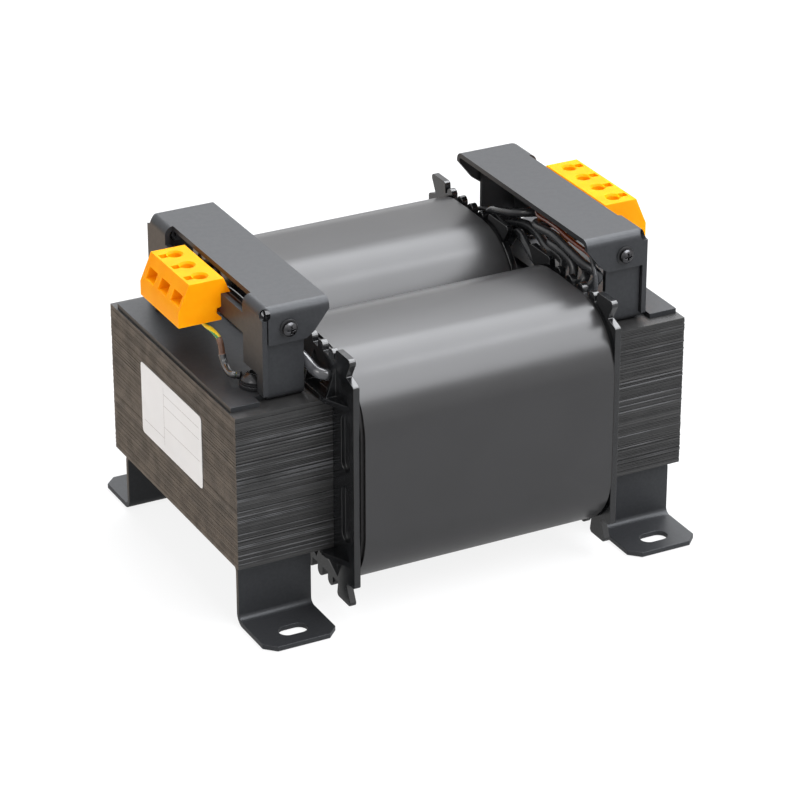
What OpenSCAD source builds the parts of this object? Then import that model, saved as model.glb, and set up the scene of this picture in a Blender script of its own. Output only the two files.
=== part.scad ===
// Open-frame power transformer: two-legged core, two coils, foot straps and terminal brackets.
// Millimetres, +Z up, X along the core legs, Z = 0 on the mounting face under the feet.

/* [View] */
// Piece to show, or all of them

/* [Core] */
// Core length along the legs
core_length = 190;
// Core width across the two legs
core_width = 114;
// Height of the lamination stack
core_stack = 62;
// Width of each leg and yoke
limb = 38;
// Height of the core above the mounting face
core_z = 26;
// Clamp bolt distance from the core's end
bolt_edge = 17;
// Clamp bolt diameter
bolt_d = 6;
// Depth of the open seams between lamination packs
seam_depth = 0.5;
// Height of each open seam
seam_height = 0.4;

/* [Feet] */
// Width of each foot strap
foot_width = 30;
// Strap and bracket sheet thickness
sheet = 2;
// Upright part of the strap, in from the core's side
foot_inset = 5;
// Reach of the foot beyond its upright part
foot_reach = 24.5;
// Inside bend radius of the strap
foot_bend = 2.5;
// Corner cut at the tip
foot_chamfer = 4.3;
// Mounting slot centre beyond the upright part
slot_out = 15;
// Mounting slot end-to-end length
slot_length = 11.5;
// Mounting slot width
slot_width = 7;

/* [Coils] */
// Space between the former's flange and the yoke
former_gap = 1;
// Space between the former's tube and the leg
former_fit = 0.3;
// Wall of the former's tube
tube_t = 2;
// Corner radius of the former's tube
tube_r = 1.5;
// Flange thickness
flange_t = 2.6;
// Depth of the pockets in the flange's outer face
pocket_depth = 1.6;
// Flange edge beyond the outer wrap, between the coils
flange_lip = 0.1;
// Flange edge beyond the core's side
flange_side = 17.3;
// Flange edge above the core
flange_over = 16;
// Flange edge below the core
flange_under = 13;
// Depth of the inner winding
primary_t = 6.4;
// Insulation between the windings
barrier_t = 0.6;
// Least depth of the outer winding at its corners
winding_min = 1;
// Outer wrap thickness
wrap_t = 1.3;
// Outer wrap beyond the core's side
coil_side = 19.3;
// Outer wrap above the core
coil_over = 17.8;
// Outer wrap below the core
coil_under = 15.3;
// Outer wrap end, in from the flange
wrap_in = 1;
// Corner radius of the outer wrap
wrap_r = 28;
// Board between the two coils
divider_t = 1.6;
// Pitch of the fingers along the flange edge
finger_pitch = 8.6;
// Finger width
finger_width = 4.4;
// Finger height above the flange
finger_height = 3.4;
// Height of the ears beside the fingers
ear_height = 4.9;

/* [Terminal brackets] */
// Outer face of the cover's wall, in from the core's end
cover_inset = 14.2;
// Depth of the cover's top along X
cover_depth = 26.8;
// Cover's ends, in from the core's sides
cover_side = 5.5;
// Top of the cover above the core
cover_height = 37.5;
// Outside bend radius of the cover
cover_bend = 3.5;
// Radius of the relief hole at each corner
relief_r = 2.2;
// Half width of the cover's window
window_y = 34.4;
// Bottom of the terminal bar, down from the cover's top
bar_drop = 15.2;
// Height of that bar
bar_height = 8.1;
// Height of the end tabs
tab_height = 14.2;
// Base plate edge, in from the core's end
base_edge = 0.8;
// Width of the base plate along X
base_width = 30.7;
// Cover screw, in from the cover's wall
screw_in = 10.3;
// Cover screw, down from the cover's top
screw_drop = 8.5;
// Cover screw diameter
screw_d = 3;

/* [Terminals] */
// Distance between two poles
pitch = 11.2;
// Middle of the terminal rows
row_y = 1.5;
// Poles at the front
poles_front = 3;
// Poles at the rear
poles_rear = 4;

/* [Label] */
// Label length
label_length = 55.2;
// Label height
label_height = 30;

/* [Hidden] */
$fn = 64;
e = 0.01;
hx = core_length / 2;
hy = core_width / 2;
yoke_x = hx - limb;
leg_y = hy - limb;
core_top = core_z + core_stack;
core_mid = core_z + core_stack / 2;
bolt_x = hx - bolt_edge;
bolt_y = hy - limb / 2;
foot_plate_y = hy - foot_inset;
foot_tip_y = foot_plate_y + foot_reach;
slot_y = foot_plate_y + slot_out;
flange_out = yoke_x - former_gap;
flange_in = flange_out - flange_t;
flange_y = hy + flange_side;
flange_low = core_z - flange_under;
flange_high = core_top + flange_over;
lug_t = 0.8;
washer_t = 1.6;
base_x = hx - base_edge;
base_in = base_x - base_width;
base_top = core_top + sheet;
cover_x = hx - cover_inset;
cover_in = cover_x - cover_depth;
cover_y = hy - cover_side;
cover_top = core_top + cover_height;
bar_low = cover_top - bar_drop;
bar_high = bar_low + bar_height;
tab_low = cover_top - tab_height;
screw_x = cover_x - screw_in;
screw_z = cover_top - screw_drop;
up_y = cover_y - sheet;
up_x = cover_x - sheet - 0.3;
bend_in = cover_bend - sheet;
term_x = cover_x + 6.2;
cage_top = bar_high + 1.1;
tail_z = bar_low - 2;
black = [0.06, 0.06, 0.065];
copper = [0.72, 0.36, 0.2];
steel = [0.62, 0.63, 0.65];
amber = [0.98, 0.62, 0.06];

// Shared shapes

// Corner b of an outline, as an arc of the radius in its third number
function arc(a, b, c) = let (
    p = [b[0], b[1]], u = unit([a[0], a[1]] - p), v = unit([c[0], c[1]] - p), half = acos(u * v) / 2,
    m = p + unit(u + v) * b[2] / sin(half),
    s = p + u * b[2] / tan(half) - m, t = p + v * b[2] / tan(half) - m)
  b[2] == 0 ? [p] : [for (k = [0 : 5]) m + b[2] * unit(s * (5 - k) + t * k)];

// Outline through corners [y, z, radius]
module outline(corners) {
  n = len(corners);
  polygon([for (i = [0 : n - 1]) each arc(corners[(i + n - 1) % n], corners[i], corners[(i + 1) % n])]);
}

// Extrudes an (x, z) outline from y0 to y1
module along_y(y0, y1) {
  translate([0, y1, 0]) rotate([90, 0, 0]) linear_extrude(height = y1 - y0) children();
}

// Extrudes a (y, z) outline from x0 to x1
module along_x(x0, x1) {
  translate([x0, 0, 0]) rotate([90, 0, 90]) linear_extrude(height = x1 - x0) children();
}

// Quarter ring of bent sheet in the first quadrant, running a hair into the flats beside it
module quarter(inside) {
  intersection() {
    difference() {
      circle(inside + sheet);
      circle(inside);
    }
    square(inside + sheet);
  }
  translate([-e, inside]) square([e, sheet]);
  translate([inside, -e]) square([sheet, e]);
}

// Rounded rectangle between two corners
module rounded(y0, z0, y1, z1, r) {
  translate([y0 + r, z0]) square([y1 - y0 - 2 * r, z1 - z0]);
  translate([y0, z0 + r]) square([y1 - y0, z1 - z0 - 2 * r]);
  for (y = [y0 + r, y1 - r], z = [z0 + r, z1 - r]) translate([y, z]) circle(r);
}

module both_ends() {
  children();
  mirror([0, 1, 0]) children();
}

module front() {
  mirror([1, 0, 0]) children();
}

module near() {
  mirror([0, 1, 0]) children();
}

module at_bolts() {
  for (x = [-bolt_x, bolt_x], y = [-bolt_y, bolt_y]) translate([x, y, 0]) children();
}

// Smooth path through a list of points
function spline(a, b, c, d, t) =
  0.5 * (2 * b + (c - a) * t + (2 * a - 5 * b + 4 * c - d) * t * t + (3 * b - a - 3 * c + d) * t * t * t);
function smooth(p, n) = let (q = concat([2 * p[0] - p[1]], p, [2 * p[len(p) - 1] - p[len(p) - 2]]))
  concat([for (i = [0 : len(p) - 2], k = [0 : n - 1]) spline(q[i], q[i + 1], q[i + 2], q[i + 3], k / n)],
         [p[len(p) - 1]]);
function unit(v) = v / norm(v);

// The same, with a straight stub at each end
function led(p) = let (n = len(p) - 1) concat([p[0]], smooth([for (i = [1 : n - 1]) p[i]], 5), [p[n]]);

function ring(a, b, r, sides) = let (t = unit(b - a), u = unit(cross([0.3, 0.2, 1], t)), v = cross(t, u))
  [for (k = [0 : sides - 1]) r * (cos(360 * k / sides) * u + sin(360 * k / sides) * v)];
function rings(p, r, sides) = [for (i = [0 : len(p) - 1])
  for (q = ring(p[max(i - 1, 0)], p[min(i + 1, len(p) - 1)], r, sides)) p[i] + q];
function wall(i, k, sides, at = 0) = let (a = at + i * sides, b = a + sides, j = (k + 1) % sides)
  [a + k, b + k, b + j, a + j];
function flip(f) = [for (k = [len(f) - 1 : -1 : 0]) f[k]];

// Round wire swept along a path
module sweep(p, r, sides = 12) {
  n = len(p);
  polyhedron(points = rings(p, r, sides), faces = concat(
    [for (i = [0 : n - 2], k = [0 : sides - 1]) wall(i, k, sides)],
    [[for (k = [0 : sides - 1]) k]], [[for (k = [0 : sides - 1]) n * sides - 1 - k]]));
}

// Hollow sleeve swept along a path
module sleeve(p, r, bore, sides = 12) {
  n = len(p);
  m = n * sides;
  polyhedron(points = concat(rings(p, r, sides), rings(p, bore, sides)), faces = concat(
    [for (i = [0 : n - 2], k = [0 : sides - 1]) wall(i, k, sides)],
    [for (i = [0 : n - 2], k = [0 : sides - 1]) flip(wall(i, k, sides, m))],
    [for (k = [0 : sides - 1]) [k, (k + 1) % sides, m + (k + 1) % sides, m + k]],
    [for (k = [0 : sides - 1]) let (a = m - sides, j = (k + 1) % sides)
      [a + j, a + k, m + a + k, m + a + j]]));
}

module wire(points, r, sides = 12) {
  sweep(led(points), r, sides);
}

// Core

// Heights of the open seams, as shares of the stack
seams = [0.084, 0.184, 0.311, 0.389, 0.542, 0.626, 0.769, 0.885];

module seam_cuts() {
  for (s = seams) translate([0, 0, core_z + s * core_stack]) difference() {
    translate([-hx - 1, -hy - 1, 0]) cube([core_length + 2, core_width + 2, seam_height]);
    translate([-hx + seam_depth, -hy + seam_depth, -1])
      cube([core_length - 2 * seam_depth, core_width - 2 * seam_depth, seam_height + 2]);
  }
}

module bolt_holes(r) {
  at_bolts() translate([0, 0, -1]) cylinder(r = r, h = cover_top);
}

module u_core() {
  color([0.2, 0.19, 0.18]) difference() {
    translate([-hx, -hy, core_z]) cube([core_length - limb, core_width, core_stack]);
    translate([-yoke_x, -leg_y, core_z - 1]) cube([core_length, 2 * leg_y, core_stack + 2]);
    bolt_holes(bolt_d / 2 + 0.8);
    seam_cuts();
  }
}

module i_core() {
  color([0.2, 0.19, 0.18]) difference() {
    translate([yoke_x, -hy, core_z]) cube([limb, core_width, core_stack]);
    bolt_holes(bolt_d / 2 + 0.8);
    seam_cuts();
  }
}

// Feet

module foot_outline() {
  r = foot_bend;
  p = foot_plate_y;
  translate([-e, core_z - sheet]) square([p - r - sheet + e, sheet]);
  translate([p - r - sheet, core_z - sheet - r]) quarter(r);
  translate([p - sheet, sheet + r]) square([sheet, core_z - 2 * sheet - 2 * r]);
  translate([p + r, sheet + r]) rotate(180) quarter(r);
  translate([p + r, 0]) square([foot_tip_y - p - r, sheet]);
}

module slot() {
  w = slot_width;
  translate([-(slot_length - w) / 2, -w / 2, -1]) cube([slot_length - w, w, sheet + 2]);
  for (x = [-1, 1]) translate([x * (slot_length - w) / 2, 0, -1]) cylinder(d = w, h = sheet + 2);
}

module foot() {
  c = foot_chamfer * sqrt(2);
  difference() {
    both_ends() along_x(bolt_x - foot_width / 2, bolt_x + foot_width / 2) foot_outline();
    for (y = [-1, 1]) {
      translate([bolt_x, y * slot_y, 0]) slot();
      for (x = [-1, 1]) translate([bolt_x + x * foot_width / 2, y * foot_tip_y, 0]) rotate(45)
        cube([c, c, 3 * sheet], center = true);
    }
    bolt_holes(bolt_d / 2 + 0.3);
  }
}

module foot_rear() {
  color(black) foot();
}

module foot_front() {
  color(black) front() foot();
}

// Terminal bracket base: plate on the yoke with two uprights

module screw_holes() {
  translate([screw_x, 0, screw_z]) rotate([90, 0, 0])
    cylinder(r = screw_d / 2 + 0.2, h = 4 * cover_y, center = true);
}

module base_plate() {
  translate([up_x + 4, -cover_y, core_top]) cube([base_x - up_x - 4, 2 * cover_y, sheet]);
  translate([base_in, -up_y + sheet + 1, core_top])
    cube([up_x + 4 + e - base_in, 2 * (up_y - sheet - 1), sheet]);
}

module upright() {
  along_x(base_in, up_x) {
    translate([up_y - sheet - 1, base_top + 1]) mirror([0, 1]) quarter(1);
    translate([up_y - sheet, base_top + 1]) square([sheet, cover_top - cover_bend - base_top - 1]);
  }
}

module base() {
  difference() {
    union() {
      base_plate();
      both_ends() upright();
    }
    bolt_holes(bolt_d / 2 + 0.3);
    screw_holes();
  }
}

module base_rear() {
  color(black) base();
}

module base_front() {
  color(black) front() base();
}

// Terminal bracket cover: top, front wall with its terminal bar, and two end tabs

module cover_tab() {
  along_x(cover_in, cover_x - cover_bend)
    translate([cover_y - cover_bend, cover_top - cover_bend]) quarter(bend_in);
  along_y(up_y, cover_y) polygon([
    [cover_in, cover_top - cover_bend], [cover_in, cover_top - cover_bend - 0.6],
    [cover_in + 6.2, tab_low + 2.2], [cover_in + 9.3, tab_low],
    [up_x, tab_low], [up_x, cover_top - cover_bend]
  ]);
}

module cover_wall() {
  along_y(-cover_y + cover_bend, cover_y - cover_bend)
    translate([cover_x - cover_bend, cover_top - cover_bend]) quarter(bend_in);
  translate([cover_x - sheet, -cover_y + 0.5, base_top + 1])
    cube([sheet, 2 * cover_y - 1, cover_top - cover_bend - base_top - 1]);
}

module at_corner() {
  translate([cover_x - cover_bend, cover_y - cover_bend, cover_top - cover_bend]) children();
}

// Drawn corner where the top, the wall and a tab meet
module cover_corner() {
  intersection() {
    difference() {
      sphere(cover_bend);
      sphere(bend_in);
    }
    translate([-e, -e, -e]) cube(cover_bend + 2 * e);
  }
}

module leg_notch() {
  translate([cover_x - sheet - 1, window_y - 1, base_top]) cube([sheet + 2, cover_y - 4.5 - window_y, 8.4]);
}

module cover() {
  difference() {
    union() {
      translate([cover_in, -cover_y + cover_bend, cover_top - sheet])
        cube([cover_x - cover_bend - cover_in, 2 * (cover_y - cover_bend), sheet]);
      cover_wall();
      both_ends() {
        cover_tab();
        at_corner() cover_corner();
      }
    }
    translate([cover_x - cover_bend, -window_y, bar_high]) cube([cover_bend + 1, 2 * window_y, 20]);
    translate([cover_x - sheet - 1, -window_y, base_top])
      cube([sheet + 2, 2 * window_y, bar_low - base_top]);
    both_ends() leg_notch();
    both_ends() at_corner() rotate([0, 70, 45]) cylinder(r = relief_r, h = 2 * cover_bend);
    screw_holes();
  }
}

module cover_rear() {
  color(black) cover();
}

module cover_front() {
  color(black) front() cover();
}

// Coils, modelled around the far leg

// Section around the leg, a distance out from it
module around_leg(out, r) {
  rounded(leg_y - out, core_z - out, hy + out, core_top + out, r);
}

// Largest corner radius, beyond the inner one, that leaves a depth c between gaps a and b
function corner_limit(a, b, c) = let (s = a + b - c) s + sqrt(max(0, s * s - a * a - b * b + c * c));

inner_out = tube_t + primary_t + barrier_t;
inner_r = tube_r + primary_t + barrier_t;
coil_r = min(wrap_r, wrap_t + inner_r + corner_limit(
  leg_y - inner_out - divider_t / 2 - wrap_t,
  min(coil_under, coil_over) - wrap_t - inner_out, winding_min));

// Section of the whole coil, a distance in from its outer face
module coil_section(in) {
  rounded(divider_t / 2 + in, core_z - coil_under + in,
          hy + coil_side - in, core_top + coil_over - in, coil_r - in);
}

module tube_section() {
  around_leg(tube_t, tube_r);
}

module primary_section() {
  around_leg(tube_t + primary_t, tube_r + primary_t);
}

module barrier_section() {
  around_leg(inner_out, inner_r);
}

module secondary_section() {
  coil_section(wrap_t);
}

module wrap_section() {
  coil_section(0);
}

module finger(y, z, tall) {
  translate([y - finger_width / 2, z - 1]) square([finger_width, tall + 1 - finger_width / 2]);
  translate([y, z + tall - finger_width / 2]) circle(d = finger_width);
}

// Place of finger k along the flange's edge, and of the gap between two with a half
function finger_y(k) = hy - 0.7 - k * finger_pitch;

// Flange edge between the coils, which follows the wrap's corner from one angle to another
function flange_bend(z, from, to) = let (r = coil_r + flange_lip)
  [for (t = [0 : 0.1 : 1]) let (a = from + (to - from) * t)
    [divider_t / 2 + coil_r + r * cos(a), z + r * sin(a), 0]];

module flange_outline() {
  low = flange_low;
  high = flange_high;
  ear = high + ear_height;
  fold = 90 - asin((low - core_z + coil_under - coil_r) / -(coil_r + flange_lip));
  outline(concat(
    [[hy + 3.4, low, 0.4], [hy + 2.4, low - 6, 1.4], [hy + 14.4, low - 6, 1.4],
     [hy + 10.4, low + 2.6, 0.5], [flange_y, low + 3.4, 1.2],
     [flange_y, high - 4.8, 1.3], [hy + 11.4, high - 2.8, 0.5], [hy + 15.8, ear, 1.6],
     [hy + 3.2, ear, 1.4], [hy + 2.8, high, 0.4], [finger_y(3) - 5.6, high, 0.4],
     [finger_y(3) - 6.4, ear, 1.4], [7, ear, 1.6]],
    flange_bend(core_top + coil_over - coil_r, 125, 180),
    flange_bend(core_z - coil_under + coil_r, 180, 270 - fold)
  ));
  for (k = [0 : 3]) {
    finger(finger_y(k), high, finger_height);
    translate([0, 2 * low]) mirror([0, 1]) finger(finger_y(k) - 2.3, low, 4.4);
  }
}

module flange_pocket(z0, z1) {
  translate([hy + 7.2, z0 + 3.4]) square([6.8, z1 - z0 - 6.8]);
  for (z = [z0 + 3.4, z1 - 3.4]) translate([hy + 10.6, z]) circle(3.4);
}

// Ledge on the core's edge, with ribs up the flange
module shelf(z, rib_end) {
  translate([flange_out - e, leg_y, z]) cube([4.8, hy - leg_y, 2]);
  translate([flange_out, hy, z]) linear_extrude(height = 2)
    polygon([[-e, -e], [4.8, -e], [4.8, 2.6], [-e, 13.5]]);
  for (y = [hy + 1.8, leg_y + 22, leg_y + 8]) along_y(y, y + 1.4)
    polygon([[flange_out - e, z + 1], [flange_out + 4.2, z + 1], [flange_out - e, rib_end]]);
}

module flange() {
  difference() {
    along_x(flange_in, flange_out) flange_outline();
    along_x(flange_out - pocket_depth, flange_out + 1) {
      flange_pocket(core_mid + 5.5, core_top - 2.5);
      flange_pocket(core_z + 7.2, core_mid - 0.8);
    }
  }
  shelf(core_top, flange_high - 2);
  shelf(core_z - 2, flange_low + 2);
}

module former() {
  difference() {
    union() {
      along_x(-flange_in - e, flange_in + e) tube_section();
      flange();
      front() flange();
    }
    translate([-flange_out - e, leg_y - former_fit, core_z - former_fit])
      cube([2 * flange_out + 2 * e, limb + 2 * former_fit, core_stack + 2 * former_fit]);
  }
}

module layer(half = flange_in) {
  along_x(-half, half) difference() {
    children(0);
    children(1);
  }
}

module primary() {
  layer() {
    primary_section();
    tube_section();
  }
}

module barrier() {
  layer() {
    barrier_section();
    primary_section();
  }
}

module secondary() {
  layer() {
    secondary_section();
    barrier_section();
  }
}

module wrap() {
  layer(flange_in - wrap_in) {
    wrap_section();
    secondary_section();
  }
}

module former_far() {
  color(black) former();
}

module former_near() {
  color(black) near() former();
}

module primary_far() {
  color(copper) primary();
}

module primary_near() {
  color(copper) near() primary();
}

module barrier_far() {
  color([0.86, 0.78, 0.55]) barrier();
}

module barrier_near() {
  color([0.86, 0.78, 0.55]) near() barrier();
}

module secondary_far() {
  color(copper) secondary();
}

module secondary_near() {
  color(copper) near() secondary();
}

module wrap_far() {
  color([0.1, 0.1, 0.11]) wrap();
}

module wrap_near() {
  color([0.1, 0.1, 0.11]) near() wrap();
}

module coil_divider() {
  color([0.6, 0.45, 0.28]) translate([-flange_in + 1, -divider_t / 2, core_z + 4])
    cube([2 * flange_in - 2, divider_t, core_stack - 8]);
}

// Clamp bolts

bolt_end = core_z - 10.5;

module hex_head(flats, tall) {
  intersection() {
    cylinder(d = flats / cos(30), h = tall, $fn = 6);
    cylinder(r1 = flats * 0.5 + tall * 1.1, r2 = flats * 0.48, h = tall);
  }
}

// Low domed head with a hexagon socket
module button_head(d, tall) {
  difference() {
    intersection() {
      cylinder(d = d, h = tall);
      translate([0, 0, -0.28 * d]) sphere(0.28 * d + tall);
    }
    translate([0, 0, tall - 1.8]) cylinder(d = bolt_d * 0.75, h = 3, $fn = 6);
  }
}

module clamp_bolts() {
  color(black) for (x = [-bolt_x, bolt_x], y = [-bolt_y, bolt_y]) {
    lift = x < 0 && y < 0 ? lug_t : 0;
    translate([x, y, lift]) {
      translate([0, 0, base_top + washer_t]) button_head(bolt_d + 4.5, 3.4);
      translate([0, 0, bolt_end]) cylinder(d = bolt_d, h = base_top + washer_t - bolt_end + 1);
    }
  }
}

module bolt_sleeves() {
  color([0.85, 0.82, 0.72]) at_bolts() translate([0, 0, core_z]) difference() {
    cylinder(r = bolt_d / 2 + 0.75, h = core_stack);
    translate([0, 0, -1]) cylinder(r = bolt_d / 2 + 0.1, h = core_stack + 2);
  }
}

module washer(outer, inner, thick) {
  difference() {
    cylinder(d = outer, h = thick);
    translate([0, 0, -1]) cylinder(d = inner, h = thick + 2);
  }
}

module clamp_washers() {
  color(black) at_bolts() {
    translate([0, 0, base_top]) washer(2 * bolt_d, bolt_d + 0.4, washer_t);
    translate([0, 0, core_z - sheet - washer_t]) washer(2 * bolt_d, bolt_d + 0.4, washer_t);
  }
}

module clamp_nuts() {
  color(black) at_bolts() translate([0, 0, core_z - sheet - washer_t]) mirror([0, 0, 1]) difference() {
    hex_head(bolt_d + 4, 5);
    translate([0, 0, -1]) cylinder(r = bolt_d / 2 + 0.05, h = 8);
  }
}

// Cover fasteners

module at_cover_screws() {
  for (x = [-screw_x, screw_x]) both_ends() translate([x, cover_y, screw_z]) rotate([-90, 0, 0]) children();
}

module pan_screw() {
  difference() {
    union() {
      intersection() {
        cylinder(d = screw_d + 2.6, h = 2.4);
        translate([0, 0, -1.9]) sphere(d = 8.4);
      }
      translate([0, 0, -8]) cylinder(d = screw_d, h = 8.1);
    }
    for (a = [0, 90]) rotate(a) translate([-1.6, -0.35, 1.1]) cube([3.2, 0.7, 2]);
  }
}

module cover_screws() {
  color(steel) at_cover_screws() translate([0, 0, 0.6]) pan_screw();
}

module cover_washers() {
  color(steel) at_cover_screws() washer(screw_d + 4, screw_d + 0.3, 0.6);
}

module cover_nuts() {
  color(steel) at_cover_screws() translate([0, 0, -2 * sheet - 2.4]) difference() {
    cylinder(d = (screw_d + 2.5) / cos(30), h = 2.4, $fn = 6);
    translate([0, 0, -1]) cylinder(r = screw_d / 2 + 0.05, h = 5);
  }
}

// Terminals, modelled at the rear

function row_length(n) = n * pitch + 1;
function pole_y(n, k) = row_y + (k - (n - 1) / 2) * pitch;

module housing_outline() {
  x = cover_x;
  polygon([
    [x, bar_low - 2.5], [x + 17.3, bar_low - 2.5], [x + 17.3, bar_low + 3.1], [x + 12.6, bar_high + 5.9],
    [x - 1.2, bar_high + 5.9], [x - 3.8, bar_high], [x, bar_high], [x, bar_low + 2.9],
    [x + 1.8, bar_low + 2.3],
    [x + 1.8, bar_low + 0.3], [x, bar_low - 1.5]
  ]);
}

module clip() {
  x = cover_x - sheet;
  polygon([
    [x - 1.9, bar_high + 1], [x - 0.1, bar_high + 1], [x - 0.1, bar_low - 0.2], [x + 1.4, bar_low - 0.2],
    [x - 0.2, bar_low - 2.4], [x - 1.9, bar_low - 2.4]
  ]);
}

module pole_cuts() {
  translate([term_x + 3, -4.5, bar_low + 5.2]) cube([20, 7.4, 4.3]);
  translate([term_x - 4, -3.6, bar_low - 10]) cube([8, 7.2, cage_top - bar_low + 10]);
  translate([cover_x - 1, -2.2, bar_low - 10]) cube([4, 4.4, tail_z + 1 - bar_low + 10]);
  translate([term_x - 0.6, 0, bar_low]) cylinder(r = 2.5, h = 20);
  translate([term_x - 0.6, 0, bar_high + 5.1]) cylinder(r1 = 2.5, r2 = 3.4, h = 0.9);
  translate([cover_x + 8.6, -1.6, bar_high + 4.3]) cube([3, 3.2, 10]);
}

module housing(n) {
  y0 = row_y - row_length(n) / 2;
  difference() {
    along_y(y0, y0 + row_length(n)) housing_outline();
    for (k = [0 : n - 1]) translate([0, pole_y(n, k), 0]) pole_cuts();
  }
  for (k = [0, n - 2]) translate([0, pole_y(n, k) + pitch / 2, 0]) along_y(-1.8, 1.8) clip();
}

module cage() {
  difference() {
    translate([term_x - 3.8, -3.5, tail_z]) cube([7.6, 7, cage_top - tail_z]);
    translate([term_x - 5, -2.4, tail_z + 4.6]) cube([10, 4.8, 5.4]);
    translate([term_x - 0.6, 0, tail_z + 6]) cylinder(r = 1.5, h = 10);
  }
  translate([cover_x - 7.3, -2, tail_z]) cube([term_x - 3.7 - cover_x + 7.3, 4, 0.8]);
}

module terminal_screw() {
  translate([term_x - 0.6, 0, cage_top]) difference() {
    union() {
      cylinder(d = 4.6, h = 1.9);
      translate([0, 0, -5]) cylinder(r = 1.45, h = 5.1);
    }
    translate([-3, -0.4, 1]) cube([6, 0.8, 2]);
  }
}

module poles(n) {
  for (k = [0 : n - 1]) translate([0, pole_y(n, k), 0]) children();
}

module housing_rear() {
  color(amber) housing(poles_rear);
}

module housing_front() {
  color(amber) front() housing(poles_front);
}

module cages_rear() {
  color([0.78, 0.74, 0.6]) poles(poles_rear) cage();
}

module cages_front() {
  color([0.78, 0.74, 0.6]) front() poles(poles_front) cage();
}

module terminal_screws() {
  color(steel) {
    poles(poles_rear) terminal_screw();
    front() poles(poles_front) terminal_screw();
  }
}

// Earth connection

lug_z = base_top + washer_t;
lug_turn = 135;
lug_reach = 6.8;
lug_r = 1.5;
earth_r = 0.95;

module earth_lug() {
  start = bolt_d / 2 + 2.4;
  color(black) translate([-bolt_x, -bolt_y, lug_z]) rotate(lug_turn) difference() {
    union() {
      cylinder(r = bolt_d / 2 + 2.6, h = lug_t);
      translate([start, 0, lug_r]) rotate([0, 90, 0]) cylinder(r = lug_r, h = lug_reach - start);
    }
    translate([0, 0, -1]) cylinder(r = bolt_d / 2 + 0.2, h = 5);
    translate([start + 0.5, 0, lug_r]) rotate([0, 90, 0]) cylinder(r = earth_r + 0.05, h = lug_reach);
  }
}

lug_way = [cos(lug_turn), sin(lug_turn), 0];
lug_in = [-bolt_x, -bolt_y, lug_z + lug_r] + lug_reach * lug_way;
earth_pole = [0.6 - term_x, pole_y(poles_front, 0), tail_z];

earth_path = led([
  earth_pole, earth_pole - [0, 0, 1], earth_pole + [0.2, -0.7, -2.1], earth_pole + [1, -3.2, -3.3],
  earth_pole + [1.6, -7.1, -3.8], earth_pole + [2, -11.3, -5.1],
  lug_in + [-1.3, 10.8, 6.9], lug_in + [-1.2, 10.3, 3.9], lug_in + [-1.2, 8.8, 1.5],
  lug_in + [-1.5, 5.8, 0.2], lug_in + 2.4 * lug_way,
  lug_in, lug_in - 0.8 * lug_way
]);

module earth_wire() {
  color([0.75, 0.72, 0.1]) sweep(earth_path, earth_r);
}

module earth_sleeve() {
  color([0.55, 0.5, 0.46]) sleeve([for (i = [21 : 50]) earth_path[i]], 1.4, earth_r + 0.12);
}

// Coil leads

// Place on a lead: by the flange, by the pole, or half-way between the two
function at_flange(y, d) = [flange_out, y, core_top] + d;
function at_pole(y, d) = [cover_x, y, tail_z] + d;
function half_way(x, a, b, d) = [x, (a + b) / 2, tail_z] + d;

module front_leads() {
  p = pole_y(poles_front, 1);
  q = pole_y(poles_front, 2);
  color([0.32, 0.33, 0.35]) front() {
    wire([
      at_flange(-hy, [0, 2, 8.8]), at_flange(-hy, [1.2, 2, 8.8]), at_flange(-hy, [3.6, 4, 9.4]),
      at_flange(-hy, [4.6, 8, 10.6]), at_flange(-hy, [5.4, 14, 12.4]), at_flange(-hy, [8, 24, 15.4]),
      half_way(cover_x, p, -hy, [-12.8, 9.75, -0.8]), at_pole(p, [-9.8, -5.5, 2.5]),
      at_pole(p, [-8.4, 0, 3]), at_pole(p, [-6.3, 0, 3])
    ], 2.2);
    wire([
      at_flange(hy, [0, -2, 8.8]), at_flange(hy, [1.2, -2, 8.8]), at_flange(hy, [3.6, -4, 9.4]),
      at_flange(hy, [4.6, -8, 10.6]), at_flange(hy, [5.4, -14, 12.4]), at_flange(hy, [8, -23, 15.4]),
      half_way(cover_x, q, hy, [-12.8, -10.85, -0.8]), at_pole(q, [-9.8, 3.3, 2.5]),
      at_pole(q, [-8.4, 0, 3]), at_pole(q, [-6.3, 0, 3])
    ], 2.2);
  }
}

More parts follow.
